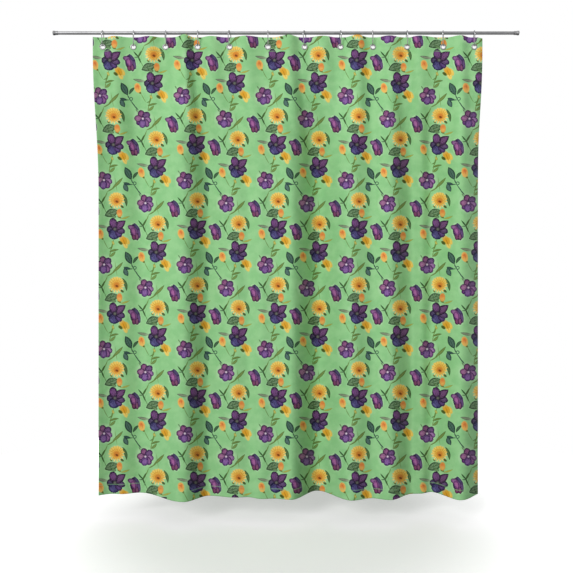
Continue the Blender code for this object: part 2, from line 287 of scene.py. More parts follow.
def sheet_mesh():
    """Two skins a cloth's thickness apart, closed round the edge and round each eyelet's hole."""
    top = top_line()
    hem = balanced(top, hem_line())
    across, down = sheet_grid()
    u, v = np.meshgrid(across, down)
    step = 1e-5
    middle = folded(u, v, top, hem)
    along_u = folded(u + step, v, top, hem) - folded(u - step, v, top, hem)
    along_v = folded(u, v + step, top, hem) - folded(u, v, top, hem)
    front = -np.cross(along_u, along_v)
    front /= np.linalg.norm(front, axis=-1, keepdims=True)
    front *= -np.sign(front[..., 1:2])
    half = thickness(u, v)[..., None] / 2
    skins = [middle + half * front, middle - half * front]
    rows, columns = u.shape
    count = rows * columns
    index = np.arange(count).reshape(rows, columns)
    corners = [index[:-1, :-1], index[:-1, 1:], index[1:, 1:], index[1:, :-1]]
    cells = np.stack(corners, axis=-1).reshape(-1, 4)
    holes = np.array([(x, EYELET_Z) for x in RING_X])
    apart = middle[..., (0, 2)].reshape(-1, 1, 2) - holes[None]
    in_hole = (np.linalg.norm(apart, axis=-1) < HOLE_CUT_RADIUS).any(axis=1)
    cells = cells[~in_hole[cells].any(axis=1)]
    edges = np.concatenate([cells[:, [i, (i + 1) % 4]] for i in range(4)])
    known = {(a, b) for a, b in edges.tolist()}
    rim = np.array([(a, b) for a, b in edges.tolist() if (b, a) not in known])
    closing = np.stack([*rim.T, rim[:, 1] + count, rim[:, 0] + count], axis=-1)
    faces = [cells[:, ::-1], cells + count, closing]
    quads = np.concatenate(faces)
    points = np.concatenate([s.reshape(-1, 3) for s in skins])
    used = np.unique(quads)
    renumber = np.zeros(len(points), int)
    renumber[used] = np.arange(len(used))
    mesh = bpy.data.meshes.new("curtain_sheet")
    mesh.from_pydata(points[used].tolist(), [], renumber[quads].tolist())
    mesh.polygons.foreach_set("material_index", np.repeat((0, 1, 0), [len(f) for f in faces]))
    for name, place in (("print", print_place(middle, v)), ("cloth", np.stack([u, v], axis=-1))):
        layer = mesh.uv_layers.new(name=name)
        place = np.tile(place.reshape(-1, 2), (2, 1))
        layer.data.foreach_set("uv", place[quads.ravel()].astype(np.float32).ravel())
    mesh.shade_smooth()
    mesh.update()
    return mesh


# ---------------------------------------------------------------- shader building


class Shader:
    """A material's nodes, made in the order in which they are worked out."""

    def __init__(self, name, roughness, metallic=0.0):
        self.material = bpy.data.materials.new(name)
        self.material.use_nodes = True
        self.tree = self.material.node_tree
        self.surface = self.tree.nodes["Principled BSDF"]
        self.surface.inputs["Roughness"].default_value = roughness
        self.surface.inputs["Metallic"].default_value = metallic

    def node(self, kind, inputs=(), **settings):
        made = self.tree.nodes.new(kind)
        for name, value in settings.items():
            setattr(made, name, value)
        for key, value in dict(inputs).items():
            if isinstance(value, bpy.types.NodeSocket):
                self.tree.links.new(value, made.inputs[key])
            else:
                made.inputs[key].default_value = value
        return made

    def calc(self, operation, *values):
        return self.node("ShaderNodeMath", dict(enumerate(values)), operation=operation).outputs[0]

    def ramp(self, value, low, high, to_low=0.0, to_high=1.0):
        """value from low to high, turned smoothly into to_low to to_high."""
        inputs = {"Value": value, "From Min": low, "From Max": high, "To Min": to_low, "To Max": to_high}
        return self.node("ShaderNodeMapRange", inputs, interpolation_type="SMOOTHSTEP").outputs[0]

    def mix(self, share, one, other):
        inputs = {"Factor": share, "A": one, "B": other}
        made = self.tree.nodes.new("ShaderNodeMix")
        made.data_type = "RGBA"
        for name, value in inputs.items():
            socket = next(s for s in made.inputs if s.name == name and s.enabled)
            if isinstance(value, bpy.types.NodeSocket):
                self.tree.links.new(value, socket)
            else:
                socket.default_value = value
        return next(s for s in made.outputs if s.enabled)

    def noise(self, vector, scale, detail=2.0):
        inputs = {"Vector": vector, "Scale": scale, "Detail": detail}
        return self.node("ShaderNodeTexNoise", inputs).outputs["Fac"]

    def bump(self, height, strength, distance):
        inputs = {"Height": height, "Strength": strength, "Distance": distance}
        made = self.node("ShaderNodeBump", inputs)
        previous = self.surface.inputs["Normal"]
        if previous.is_linked:
            self.tree.links.new(previous.links[0].from_socket, made.inputs["Normal"])
        self.tree.links.new(made.outputs[0], previous)

    def colour(self, value):
        self.tree.links.new(value, self.surface.inputs["Base Color"])


class Motifs(Shader):
    """Printed shapes laid one over another on the ground colour. Sizes are in millimetres."""

    def ground(self, colour, place):
        self.laid = colour
        self.grain = self.noise(place, PETAL_GRAIN_SCALE, 2.0)

    def square(self, u, v, left, top):
        """Coordinates round the middle flower of the set that a point is in, and 1 in every second set.
        A set starts left of its flower and above it."""
        cell = REPEAT[0] / 2
        columns = self.calc("MULTIPLY_ADD", u, 1 / cell, -(FIRST_FLOWER[0] + left / 1000) / cell)
        second = self.calc("FLOORED_MODULO", self.calc("FLOOR", columns), 2.0)
        x = self.calc("MULTIPLY_ADD", self.calc("FRACT", columns), cell * 1000, left)
        x = self.calc("MULTIPLY_ADD", second, -HALF_SHIFT * 1000, x)
        below = self.calc("SUBTRACT", v, FIRST_FLOWER[1] + top / 1000)
        below = self.calc("MULTIPLY_ADD", second, -HALF_DROP, below)
        below = self.calc("FLOORED_MODULO", below, REPEAT[1])
        y = self.calc("MULTIPLY_ADD", below, 1000.0, top)
        return (x, y), second

    def local(self, place, start, end, width):
        """Two coordinates: from -1 at start to 1 at end, and from -1 to 1 across the width."""
        centre = ((start[0] + end[0]) / 2, (start[1] + end[1]) / 2)
        length = math.dist(start, end)
        ahead = ((end[0] - start[0]) / length, (end[1] - start[1]) / length)
        pair = []
        for (axis_x, axis_y), half in ((ahead, length / 2), ((-ahead[1], ahead[0]), width / 2)):
            shift = -(centre[0] * axis_x + centre[1] * axis_y) / half
            part = self.calc("MULTIPLY_ADD", place[1], axis_y / half, shift)
            pair.append(self.calc("MULTIPLY_ADD", place[0], axis_x / half, part))
        return pair

    def distance(self, pair):
        square = self.calc("MULTIPLY", pair[1], pair[1])
        return self.calc("SQRT", self.calc("MULTIPLY_ADD", pair[0], pair[0], square))

    def round(self, place, centre, radius):
        """Coordinates round a centre, in radii: the distance from it, the angle, and how far down."""
        start, end = (centre[0] - radius, centre[1]), (centre[0] + radius, centre[1])
        pair = self.local(place, start, end, 2 * radius)
        return self.distance(pair), self.calc("ARCTAN2", pair[1], pair[0]), pair[1]

    def grained(self, value, amount):
        """A value made uneven by the print's grain, by up to half the amount either way."""
        return self.calc("MULTIPLY_ADD", self.grain, amount, self.calc("SUBTRACT", value, amount / 2))

    def lay(self, mask, colour, strength=1.0):
        if strength != 1.0:
            mask = self.calc("MULTIPLY", mask, strength)
        self.laid = self.mix(mask, self.laid, colour)

    def oval(self, place, start, end, width, edge, heart, strength=1.0, along=None):
        """A petal from start to end, edge-coloured outside and heart-coloured inside, or going from one
        colour to the other along its length."""
        pair = self.local(place, start, end, width)
        out = self.distance(pair)
        soft = 0.4 / min(math.dist(start, end), width)
        mask = self.ramp(self.grained(out, PETAL_RAG), 1 + soft, 1 - 2 * soft)
        if along:
            heart = self.mix(self.ramp(pair[0], -0.5, 0.6), heart, along)
        inward = self.ramp(self.grained(out, PETAL_GRAIN), 1.0, 0.35)
        self.lay(mask, self.mix(inward, edge, heart), strength)

    def leaf(self, place, start, end, width, edge, heart, bend=0.0, strength=1.0, only=None):
        """A shape with two pointed ends, arched sideways by bend half-widths."""
        along, side = self.local(place, start, end, width)
        square = self.calc("MULTIPLY", along, along)
        if bend:
            side = self.calc("MULTIPLY_ADD", square, bend, side)
        out = self.calc("ADD", square, self.calc("ABSOLUTE", side))
        mask = self.ramp(out, 1 + 0.5 / width, 1 - 1.0 / width)
        if only:
            mask = self.calc("MULTIPLY", mask, only)
        colour = edge
        if heart:
            colour = self.mix(self.ramp(self.grained(out, PETAL_GRAIN), 0.95, 0.35), edge, heart)
        self.lay(mask, colour, strength)

    def dot(self, place, centre, radius, colour, strength=1.0, soft=0.5):
        out, _, _ = self.round(place, centre, radius)
        self.lay(self.ramp(out, 1 + soft / 2, 1 - soft), colour, strength)

    def veins(self, place, centre, radius, count, colour, strength):
        """Fine lines that run out from a flower's centre and fade towards its rim."""
        out, angle, _ = self.round(place, centre, radius)
        wave = self.calc("SINE", self.calc("MULTIPLY", self.grained(angle, 0.5), float(count)))
        mask = self.calc("MULTIPLY", self.ramp(wave, 0.2, 0.9), self.ramp(out, 1.0, 0.3))
        self.lay(mask, colour, strength)

    def fringe(self, place, centre, radius, count, low, high, shift, colour):
        """A round of pointed ray petals, low long at the top and high long at the bottom, in radii."""
        out, angle, down = self.round(place, centre, radius)
        ray = self.calc("ABSOLUTE", self.calc("SINE", self.calc("MULTIPLY_ADD", angle, count / 2, shift)))
        length = self.ramp(down, -0.6, 0.8, low, high)
        edge = self.calc("MULTIPLY_ADD", self.calc("SUBTRACT", 1.0, ray), length, out)
        self.lay(self.ramp(self.grained(edge, PETAL_RAG), 1.05, 0.97), colour)


# ---------------------------------------------------------------- the print


def anemone(cloth, place):
    """The large dark violet flower at the middle of each set."""
    cloth.dot(place, (1, -1), 44, HALO, 0.55, 0.35)
    cloth.oval(place, (-34, 1), (4, 3), 33, srgb(38, 30, 54), srgb(92, 78, 114))
    cloth.oval(place, (-2, -2), (-5, 42), 47, srgb(26, 26, 60), srgb(84, 78, 130))
    cloth.oval(place, (-24, 18), (-4, 38), 13, srgb(62, 58, 104), srgb(104, 100, 152), 0.7)
    cloth.oval(place, (2, 2), (24, 32), 25, srgb(40, 26, 66), srgb(98, 72, 128))
    cloth.oval(place, (0, -4), (39, 14), 27, srgb(34, 22, 54), srgb(106, 82, 124))
    cloth.leaf(place, (-12, 6), (42, -33), 34, srgb(34, 20, 44), srgb(118, 78, 122))
    cloth.oval(place, (-2, 2), (-12, -44), 33, srgb(30, 22, 44), srgb(120, 78, 128))
    cloth.oval(place, (-20, -36), (-12, -12), 9, srgb(96, 52, 108), srgb(140, 84, 150), 0.6)
    cloth.veins(place, (0, 0), 36, 17, srgb(22, 14, 34), 0.75)
    cloth.dot(place, (0, 0), 11, srgb(38, 30, 48), 0.85, 0.9)
    cloth.dot(place, (-1, 1), 6.0, srgb(112, 116, 104), 0.85, 0.8)


def geranium(cloth, place):
    """The round violet flower with a white eye, below the dark one."""
    x, y = -44, 143
    cloth.dot(place, (x, y), 41, HALO, 0.55, 0.3)
    for reach_x, reach_y, width, edge, heart in (
        (-25, 22, 25, srgb(62, 28, 76), srgb(122, 78, 138)),
        (-9, -35, 29, srgb(54, 26, 60), srgb(148, 92, 136)),
        (26, -25, 29, srgb(48, 28, 64), srgb(122, 88, 136)),
        (-34, -3, 28, srgb(72, 36, 76), srgb(170, 116, 156)),
        (33, 8, 27, srgb(66, 38, 86), srgb(170, 126, 176)),
        (20, 31, 28, srgb(62, 32, 78), srgb(156, 106, 160)),
        (-5, 36, 30, srgb(64, 36, 92), srgb(144, 104, 168)),
    ):
        cloth.oval(place, (x, y), (x + reach_x, y + reach_y), width, edge, heart)
    cloth.veins(place, (x, y), 30, 15, srgb(48, 20, 60), 0.6)
    cloth.dot(place, (x - 2, y + 1), 9, srgb(70, 36, 82), 0.5, 0.9)
    cloth.dot(place, (x, y - 1), 4.6, srgb(226, 208, 226), 1.0, 0.7)


def gerbera(cloth, place):
    """The yellow daisy: two rounds of ray petals, longest at the bottom, round a brown eye."""
    x, y = 5, -114
    cloth.dot(place, (x, y), 37, HALO, 0.45, 0.3)
    cloth.leaf(place, (33, -143), (50, -90), 13, srgb(46, 72, 38), srgb(88, 120, 72), bend=-0.7)
    cloth.oval(place, (22, -93), (34, -84), 9, srgb(50, 72, 34), srgb(84, 104, 50))
    cloth.oval(place, (-20, -93), (-11, -84), 7, srgb(76, 100, 48), srgb(104, 128, 66))
    out, angle, down = cloth.round(place, (x + 1, y + 2), 30)
    rim = cloth.mix(cloth.ramp(down, -0.6, 0.6), srgb(243, 208, 104), srgb(252, 230, 142))
    rim = cloth.mix(cloth.ramp(cloth.grained(out, 1.0), 0.95, 0.50), rim, srgb(228, 166, 62))
    gap = cloth.calc("ABSOLUTE", cloth.calc("SINE", cloth.calc("MULTIPLY", angle, 9.5)))
    rim = cloth.mix(cloth.calc("MULTIPLY", cloth.ramp(gap, 0.42, 0.1), 0.6), rim, srgb(178, 124, 44))
    cloth.fringe(place, (x, y), 32, 15, 0.08, 0.46, 0.0, rim)
    core = cloth.mix(cloth.ramp(out, 0.60, 0.25), srgb(242, 190, 80), srgb(220, 140, 56))
    gap = cloth.calc("ABSOLUTE", cloth.calc("SINE", cloth.calc("MULTIPLY_ADD", angle, 7.5, 0.7)))
    core = cloth.mix(cloth.calc("MULTIPLY", cloth.ramp(gap, 0.5, 0.1), 0.7), core, srgb(164, 94, 26))
    cloth.fringe(place, (x + 1, y + 2), 17.5, 15, 0.16, 0.34, 0.7, core)
    cloth.oval(place, (x - 4, y + 2), (x + 8, y + 8), 9, srgb(160, 92, 36), srgb(112, 60, 20), 0.95)


def bellflower(cloth, place):
    """The nodding violet bell seen from the side."""
    cloth.oval(place, (-97, -116), (-74, -44), 49, HALO, HALO, 0.5)
    cloth.oval(place, (-93, -112), (-77, -48), 40, srgb(48, 26, 66), srgb(110, 76, 122))
    cloth.oval(place, (-91, -72), (-89, -47), 17, srgb(60, 26, 56), srgb(124, 66, 102))
    cloth.oval(place, (-80, -76), (-76, -46), 15, srgb(50, 24, 56), srgb(134, 82, 114))
    cloth.oval(place, (-114, -103), (-86, -91), 20, srgb(76, 38, 84), srgb(148, 104, 150))
    cloth.oval(place, (-98, -98), (-83, -66), 19, srgb(104, 54, 112), srgb(170, 104, 158), 0.95)
    cloth.oval(place, (-91, -115), (-66, -84), 13, srgb(44, 40, 74), srgb(82, 74, 112), 0.95)
    cloth.oval(place, (-72, -94), (-66, -54), 12, srgb(50, 32, 76), srgb(110, 84, 132), 0.85)
    cloth.leaf(place, (-86, -96), (-82, -56), 3.0, srgb(60, 28, 66), None, strength=0.7)


def buds(cloth, place):
    """Two orange buds, the half-open yellow flower, and their calyxes and stems."""
    green, dark = srgb(110, 142, 74), srgb(78, 98, 42)
    flame, gold = srgb(228, 124, 64), srgb(238, 188, 98)
    cloth.leaf(place, (-50, 38), (-28, 80), 3.2, green, None, bend=0.8, strength=0.85)
    cloth.oval(place, (-57, 33), (-46, 43), 9, srgb(140, 150, 70), dark)
    cloth.oval(place, (-63, 0), (-55, 39), 26, gold, flame, 1.0, gold)
    cloth.leaf(place, (-60, 4), (-54, 30), 3.4, srgb(206, 96, 40), None, strength=0.5)
    cloth.oval(place, (9, -51), (24, -43), 8, srgb(112, 140, 64), dark)
    rim, heart, tip = srgb(218, 156, 78), srgb(230, 128, 66), srgb(236, 182, 96)
    cloth.oval(place, (17, -81), (18, -47), 23, rim, heart, 1.0, tip)
    cloth.dot(place, (37, 50), 24, HALO, 0.4, 0.4)
    cloth.oval(place, (33, 40), (46, 78), 19, srgb(232, 206, 104), srgb(244, 212, 112))
    cloth.oval(place, (40, 34), (55, 62), 17, srgb(228, 192, 84), srgb(240, 206, 100))
    cloth.oval(place, (20, 27), (44, 60), 25, srgb(216, 170, 60), srgb(226, 164, 46))
    cloth.leaf(place, (28, 34), (44, 70), 4.0, srgb(186, 128, 30), None, strength=0.75)
    cloth.oval(place, (13, 49), (29, 62), 12, srgb(104, 116, 46), srgb(70, 90, 38))


def foliage(cloth, place):
    """Leaves, sprigs and thin stems round the flowers."""
    olive, moss = srgb(110, 136, 66), srgb(90, 126, 62)
    fern, deep = srgb(76, 108, 58), srgb(50, 88, 48)
    vein = srgb(58, 90, 54)
    cloth.leaf(place, (-77, -14), (-26, -5), 12, srgb(96, 112, 92), srgb(134, 146, 118), bend=0.25)
    cloth.leaf(place, (-46, -53), (15, -75), 38, HALO, None, bend=-0.12, strength=0.35)
    cloth.leaf(place, (-43, -54), (14, -74), 34, srgb(44, 76, 46), srgb(116, 146, 108), bend=-0.12)
    cloth.leaf(place, (-36, -57), (10, -73), 3.4, vein, None, strength=0.9)
    for start, end in (((-24, -61), (-14, -73)), ((-13, -65), (-3, -77)), ((-22, -62), (-14, -53))):
        cloth.leaf(place, start, end, 3.0, vein, None, strength=0.75)
    cloth.oval(place, (-18, -56), (4, -46), 13, srgb(56, 90, 52), srgb(108, 138, 92), 0.9)
    cloth.leaf(place, (20, -38), (60, -50), 7.5, srgb(140, 156, 72), srgb(176, 176, 84), bend=0.5)
    cloth.leaf(place, (-4, 40), (-19, 92), 6.4, srgb(112, 138, 66), None, bend=-0.6, strength=0.95)
    cloth.oval(place, (-12, 48), (-4, 63), 9, srgb(150, 158, 76), srgb(198, 190, 98))
    cloth.leaf(place, (-17, 86), (-24, 114), 3.4, srgb(116, 138, 66), None)
    cloth.leaf(place, (-24, 90), (15, 80), 9.0, srgb(78, 106, 50), srgb(112, 138, 70), bend=-0.5)
    cloth.leaf(place, (-27, 80), (-9, 70), 4.6, moss, None, bend=0.4, strength=0.9)
    cloth.leaf(place, (-22, 113), (3, 91), 11.0, srgb(90, 120, 58), srgb(122, 150, 82), bend=0.3)
    cloth.leaf(place, (-1, 128), (8, 190), 3.0, srgb(122, 150, 84), None, bend=0.5, strength=0.85)
    cloth.leaf(place, (-36, 192), (6, 166), 5.2, olive, None, bend=0.9)
    cloth.leaf(place, (-10, 175), (33, 133), 12.0, srgb(88, 112, 52), srgb(122, 146, 78), bend=0.35)
    cloth.leaf(place, (-30, -150), (-43, -118), 4.0, olive, None, strength=0.95)
    cloth.leaf(place, (-74, -127), (-51, -101), 6.0, deep, None, bend=0.3)
    cloth.leaf(place, (-57, -99), (-39, -131), 8.0, fern, None, bend=0.3)
    cloth.leaf(place, (-57, -111), (-42, -76), 6.2, srgb(58, 94, 52), None, bend=0.3)
    cloth.leaf(place, (-44, -84), (-33, -60), 3.0, srgb(90, 128, 72), None, strength=0.85)
    cloth.leaf(place, (-72, -102), (-48, -104), 4.0, srgb(74, 98, 72), None)
    cloth.leaf(place, (-52, -70), (-38, -118), 2.4, srgb(100, 138, 80), None, strength=0.5)
    cloth.leaf(place, (-71, 103), (-57, 124), 5.5, srgb(66, 96, 54), None, strength=0.9)


def long_sprig(cloth, place, second):
    """The blue-green sprig that only every second set has."""
    dark, leaf_green = srgb(30, 56, 46), srgb(80, 112, 98)
    for start, end, width, bend in (
        ((-101, 46), (-92, 66), 4.4, 0.0),
        ((-94, 62), (-60, 112), 4.2, -0.4),
        ((-72, 92), (-57, 112), 3.2, 0.3),
        ((-90, 66), (-128, 70), 4.6, 0.5),
    ):
        cloth.leaf(place, start, end, width, srgb(54, 80, 68), None, bend=bend, only=second)
    cloth.leaf(place, (-124, -2), (-99, 49), 27, dark, leaf_green, only=second)
    cloth.leaf(place, (-121, 6), (-102, 44), 3, srgb(38, 66, 56), None, only=second, strength=0.8)
    for start, end, width, edge, heart, bend in (
        ((-96, 44), (-72, 15), 12, srgb(42, 72, 48), srgb(70, 102, 72), -0.5),
        ((-132, 62), (-104, 68), 12, srgb(36, 60, 56), srgb(60, 88, 84), 0.4),
        ((-130, 64), (-115, 97), 20, srgb(32, 56, 50), srgb(86, 116, 108), 0.2),
    ):
        cloth.leaf(place, start, end, width, edge, heart, bend=bend, only=second)
    out, _, _ = cloth.round(place, (-86.5, 63), 7)
    band = cloth.calc("ABSOLUTE", cloth.calc("SUBTRACT", out, 0.82))
    cloth.lay(cloth.calc("MULTIPLY", cloth.ramp(band, 0.32, 0.12), second), srgb(60, 92, 76))


def cloth_material(name, showing):
    """The woven polyester. showing is 1 on the printed front, and less where the print strikes through."""
    cloth = Motifs(name, roughness=0.72)
    place = cloth.node("ShaderNodeUVMap", uv_map="print").outputs[0]
    parts = cloth.node("ShaderNodeSeparateXYZ", {0: place})
    u, v = parts.outputs["X"], parts.outputs["Y"]
    mottle = cloth.noise(place, 26.0, 3.0)
    ground = srgb(150, 207, 144)
    cloth.ground(cloth.mix(cloth.ramp(mottle, 0.35, 0.65), srgb(144, 203, 139), srgb(155, 211, 148)), place)
    main_set, _ = cloth.square(u, v, -81, -149)
    side_set, second = cloth.square(u, v, -134, -150)
    foliage(cloth, main_set)
    long_sprig(cloth, side_set, second)
    bellflower(cloth, side_set)
    gerbera(cloth, main_set)
    buds(cloth, main_set)
    anemone(cloth, main_set)
    geranium(cloth, main_set)
    if showing < 1:
        cloth.laid = cloth.mix(1 - showing, cloth.laid, srgb(196, 222, 190))
    threads_and_seam_highlight = stitching(cloth)
    # the threads' own colour and the painted highlight band along the seams both turn the print toward its
    # ground colour
    cloth.colour(cloth.mix(threads_and_seam_highlight, cloth.laid, ground))
    cloth.surface.inputs["Sheen Weight"].default_value = 0.04
    cloth.surface.inputs["Sheen Roughness"].default_value = 0.5
    cloth.surface.inputs["Specular IOR Level"].default_value = 0.12
    return cloth.material


def stitching(cloth):
    """The rows of stitches along the hems, with a painted highlight band along the top and bottom rows, as
    a share from 0 to 1, and the weave's and stitches' relief.
    """
    flat = cloth.node("ShaderNodeUVMap", uv_map="cloth").outputs[0]
    parts = cloth.node("ShaderNodeSeparateXYZ", {0: flat})
    u, v = parts.outputs["X"], parts.outputs["Y"]
    side = cloth.calc("MINIMUM", u, cloth.calc("SUBTRACT", CLOTH_WIDTH, u))
    from_side = cloth.calc("ABSOLUTE", cloth.calc("SUBTRACT", side, SIDE_HEM - 0.003))
    from_top = cloth.calc("ABSOLUTE", cloth.calc("SUBTRACT", v, HEADER - 0.003))
    from_hem = cloth.calc("ABSOLUTE", cloth.calc("SUBTRACT", v, CLOTH_DROP - HEM_DEPTH + 0.003))
    level = cloth.calc("MINIMUM", from_top, from_hem)
    dash_u = cloth.ramp(cloth.calc("PINGPONG", u, STITCH_LENGTH / 2), 0.0003, 0.0005)
    dash_v = cloth.ramp(cloth.calc("PINGPONG", v, STITCH_LENGTH / 2), 0.0003, 0.0005)
    row = cloth.calc("MULTIPLY", cloth.ramp(level, THREAD, THREAD / 3), dash_u)
    column = cloth.calc("MULTIPLY", cloth.ramp(from_side, THREAD, THREAD / 3), dash_v)
    threads = cloth.calc("MAXIMUM", row, column)
    # painted highlight: a paler band 3.5 mm either side of the top and bottom stitch rows, where the print
    # turns toward its ground colour, standing in for light on the puckered seam
    seam_highlight = cloth.calc("MULTIPLY", cloth.ramp(level, 0.0035, 0.0), 0.35)
    weave_u = cloth.calc("SINE", cloth.calc("MULTIPLY", u, 2 * math.pi / WEAVE))
    weave_v = cloth.calc("SINE", cloth.calc("MULTIPLY", v, 2 * math.pi / WEAVE))
    cloth.bump(cloth.calc("MULTIPLY", weave_u, weave_v), 0.25, 0.00006)
    ripple = cloth.node("ShaderNodeMapping", {"Vector": flat, "Scale": (1.0, 0.22, 1.0)}).outputs[0]
    cloth.bump(cloth.noise(ripple, 22.0, 2.0), 0.35, 0.004)
    cloth.bump(threads, 0.6, 0.0003)
    return cloth.calc("MAXIMUM", seam_highlight, cloth.calc("MULTIPLY", threads, 0.6))


# ---------------------------------------------------------------- metals and rubber


def metal(name, colour, roughness, grain_scale, grain=0.06):
    """Bright metal with fine drawing or polishing marks and slightly uneven gloss."""
    made = Shader(name, roughness, metallic=1.0)
    place = made.node("ShaderNodeTexCoord").outputs["Object"]
    marks = made.node("ShaderNodeMapping", {"Vector": place, "Scale": grain_scale}).outputs[0]
    streaks = made.noise(marks, 900.0, 3.0)
    patches = made.noise(place, 60.0, 2.0)
    darker = tuple(0.88 * c for c in colour[:3]) + (1.0,)
    made.colour(made.mix(made.ramp(patches, 0.3, 0.7), darker, colour))
    uneven = made.calc("MULTIPLY_ADD", streaks, 2 * grain, roughness - grain)
    made.tree.links.new(uneven, made.surface.inputs["Roughness"])
    made.bump(streaks, 0.15, 0.00003)
    return made.material


def rubber_material():
    made = Shader("pad_rubber", 0.85)
    place = made.node("ShaderNodeTexCoord").outputs["Object"]
    grain = made.noise(place, 1800.0, 3.0)
    made.colour(made.mix(grain, (0.16, 0.16, 0.16, 1), (0.26, 0.26, 0.26, 1)))
    made.bump(grain, 0.3, 0.0001)
    return made.material


# ---------------------------------------------------------------- turned and bent metal


def add_piece(name, mesh, finish, body, replaced, place=(0, 0, 0)):
    mesh.materials.append(finish)
    mesh.shade_smooth()
    mesh.set_sharp_from_angle(angle=math.radians(40))
    piece = bpy.data.objects.new(name, mesh)
    bpy.context.collection.objects.link(piece)
    piece.location = place
    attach(piece, body)
    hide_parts(*replaced)
    return piece


def rounded(outline, radius, steps=4):
    """A closed outline with each of its corners rounded, by at most 40% of its sides."""
    points = []
    count = len(outline)
    for i, corner in enumerate(np.array(outline, float)):
        before = np.array(outline[i - 1]) - corner
        after = np.array(outline[(i + 1) % count]) - corner
        back, ahead = np.linalg.norm(before), np.linalg.norm(after)
        if corner[1] < 1e-6:
            points.append(tuple(corner))
            continue
        reach = min(radius, 0.4 * back, 0.4 * ahead)
        start, end = corner + before / back * reach, corner + after / ahead * reach
        for j in range(steps + 1):
            t = j / steps
            points.append(tuple((1 - t) ** 2 * start + 2 * t * (1 - t) * corner + t * t * end))
    return points


def turned(name, outline, sides, axis):
    """A closed outline of (distance along the axis, radius), turned about the X or Y axis."""
    points, faces = [], []
    count = len(outline)
    for i in range(sides):
        angle = 2 * math.pi * i / sides
        for along, radius in outline:
            across = (radius * math.cos(angle), radius * math.sin(angle))
            points.append((along, *across) if axis == "X" else (across[0], along, across[1]))
        here, there = i * count, (i + 1) % sides * count
        for j in range(count):
            k = (j + 1) % count
            faces.append((here + j, here + k, there + k, there + j))
    return closed_mesh(name, points, faces)


def closed_mesh(name, points, faces):
    mesh = bpy.data.meshes.new(name)
    mesh.from_pydata([tuple(p) for p in points], [], faces)
    shape = bmesh.new()
    shape.from_mesh(mesh)
    bmesh.ops.remove_doubles(shape, verts=shape.verts, dist=1e-6)
    bmesh.ops.recalc_face_normals(shape, faces=shape.faces)
    shape.to_mesh(mesh)
    shape.free()
    return mesh


def ring_outline():
    """The ring's centre line in its own plane, from the foot forwards and round, as (y, z, wire radius)."""
    top_z = ROD_RADIUS + GAP + WIRE_RADIUS - RING_TOP_RADIUS
    foot_z = RING_FOOT_Z + RING_FOOT_RADIUS
    lean = math.asin((RING_TOP_RADIUS - RING_FOOT_RADIUS) / (top_z - foot_z))
    points = []
    arcs = (
        (RING_TOP_RADIUS, top_z, -lean, math.pi + 2 * lean, 36),
        (RING_FOOT_RADIUS, foot_z, math.pi + lean, math.pi - 2 * lean, 26),
    )
    for radius, centre_z, start, sweep, steps in arcs:
        for i in range(steps + 1):
            angle = start + sweep * i / steps
            points.append((radius * math.cos(angle), centre_z + radius * math.sin(angle), WIRE_RADIUS))
    last, first = np.array(points[-1][:2]), np.array(points[0][:2])
    length = float(np.linalg.norm(first - last))
    start = (length - CLASP_LENGTH) / 2
    swell = CLASP_RADIUS - WIRE_RADIUS
    middle = length / 2
    sleeve = [(start, 0), (start + swell / 2, 0.75), (start + swell, 1)]
    sleeve += [(middle - 0.0006, 1), (middle - 0.0003, 0.7)]
    sleeve += [(length - along, share) for along, share in reversed(sleeve)]
    for along, share in sleeve:
        points.append((*(last + (first - last) * along / length), WIRE_RADIUS + share * swell))
    return points


def ring_mesh(name, yaw, sides=18):
    """Round wire along the pear outline, turned about the upright through the rod's axis."""
    outline = ring_outline()
    count = len(outline)
    centres = np.array([p[:2] for p in outline])
    points, faces = [], []
    for i, (y, z, radius) in enumerate(outline):
        ahead = centres[(i + 1) % count] - centres[i - 1]
        outwards = np.array((ahead[1], -ahead[0])) / np.linalg.norm(ahead)
        for j in range(sides):
            angle = 2 * math.pi * j / sides
            across = radius * math.sin(angle)
            forth = y + radius * math.cos(angle) * outwards[0]
            x_turned = across * math.cos(yaw) - forth * math.sin(yaw)
            y_turned = across * math.sin(yaw) + forth * math.cos(yaw)
            points.append((x_turned, y_turned, z + radius * math.cos(angle) * outwards[1]))
        here, there = i * sides, (i + 1) % count * sides
        for j in range(sides):
            k = (j + 1) % sides
            faces.append((here + j, here + k, there + k, there + j))
    return closed_mesh(name, points, faces)


def grommet_outline():
    """The domed front flange, rolled in to the hole, and the barrel through the cloth."""
    face = -(CLOTH_THICKNESS / 2 + GAP)
    back = CLOTH_THICKNESS / 2 + GAP + WASHER_THICKNESS
    hole = EYELET_HOLE_RADIUS
    middle, half = (hole + EYELET_RADIUS) / 2, (EYELET_RADIUS - hole) / 2
    dome = []
    for i in range(15):
        angle = math.pi * i / 14
        dome.append((face - FLANGE_HEIGHT * math.sin(angle) ** 0.7, middle + half * math.cos(angle)))
    return [(back, hole), (back, hole + BARREL_WALL), (face, hole + BARREL_WALL), *dome]


def washer_outline():
    face = CLOTH_THICKNESS / 2 + GAP
    inner = EYELET_HOLE_RADIUS + BARREL_WALL + GAP
    raised = face + WASHER_THICKNESS
    corners = [(face, inner), (face, WASHER_RADIUS), (raised, WASHER_RADIUS - 0.0006), (raised, inner)]
    return rounded(corners, 0.0005)


